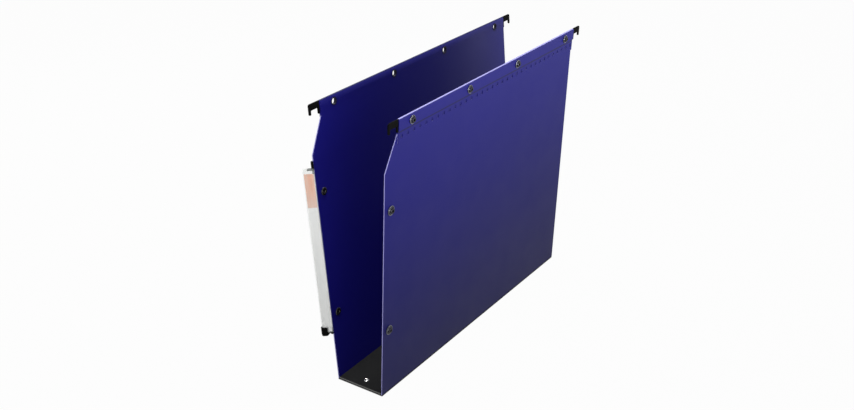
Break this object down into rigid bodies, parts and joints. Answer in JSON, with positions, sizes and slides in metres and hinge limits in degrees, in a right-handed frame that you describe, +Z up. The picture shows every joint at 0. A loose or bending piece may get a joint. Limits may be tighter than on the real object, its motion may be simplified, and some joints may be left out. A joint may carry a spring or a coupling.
{
  "type": "hanging file folder",
  "caption": "Hanging file folder with a flat base, two folding plastic covers, rail hooks, press studs and a swivelling clear label holder.",
  "frame": {"origin": "middle of the base's underside", "axes": "+X along the folder from the label end to the back end, +Y from the front cover to the rear cover, +Z up"},
  "size_m": [0.357, 0.0914, 0.2756],
  "materials": {
    "black_sheet": "smooth satin black sheet",
    "rivet_metal": "bright rolled metal",
    "blue_sheet": "fine-grained satin sheet with paler cut edges",
    "strip_steel": "plain rolled strip",
    "black_plastic": "moulded satin black",
    "stud_metal": "dark gunmetal plating",
    "clear_plastic": "clear glossy extrusion",
    "label_paper": "matt white paper with a pale orange block at its top"
  },
  "bodies": {
    "base": {"base_sheet": "black_sheet", "base_board": "black_sheet", "base_rivets": "rivet_metal", "front_flange": "blue_sheet", "rear_flange": "blue_sheet"},
    "front_cover": {"front_cover": "blue_sheet", "front_strip": "strip_steel", "front_hook_label_end": "black_plastic", "front_hook_back_end": "black_plastic", "front_top_studs": "stud_metal", "front_top_caps": "stud_metal", "front_side_studs": "stud_metal", "front_side_caps": "stud_metal"},
    "rear_cover": {"rear_cover": "blue_sheet", "rear_strip": "strip_steel", "rear_hook_label_end": "black_plastic", "rear_hook_back_end": "black_plastic", "rear_top_eyelets": "stud_metal", "rear_top_rings": "stud_metal", "rear_side_sockets": "stud_metal", "rear_side_caps": "black_plastic", "label_bracket": "black_plastic"},
    "label_holder": {"label_holder": "clear_plastic", "label_top_clip": "black_plastic", "label_foot": "black_plastic"},
    "label_card": {"label_card": "label_paper"}
  },
  "joints": [
    {"name": "front_fold", "type": "hinge", "parent": "base", "child": "front_cover", "pos_m": [0, -0.02555, 0.00155], "axis": [1, 0, 0], "range_deg": [-7.1, 85.7]},
    {"name": "rear_fold", "type": "hinge", "parent": "base", "child": "rear_cover", "pos_m": [0, 0.02555, 0.00155], "axis": [-1, 0, 0], "range_deg": [-9.5, 60.3]},
    {"name": "label_swivel", "type": "hinge", "parent": "rear_cover", "child": "label_holder", "pos_m": [-0.16805, 0.03663, 0.13509], "axis": [0, 0.0819, 0.9966], "range_deg": [-34, 56]},
    {"name": "label_card_slide", "type": "slide", "parent": "label_holder", "child": "label_card", "axis": [0, 0.0819, 0.9966], "range_m": [0, 0.12]}
  ]
}
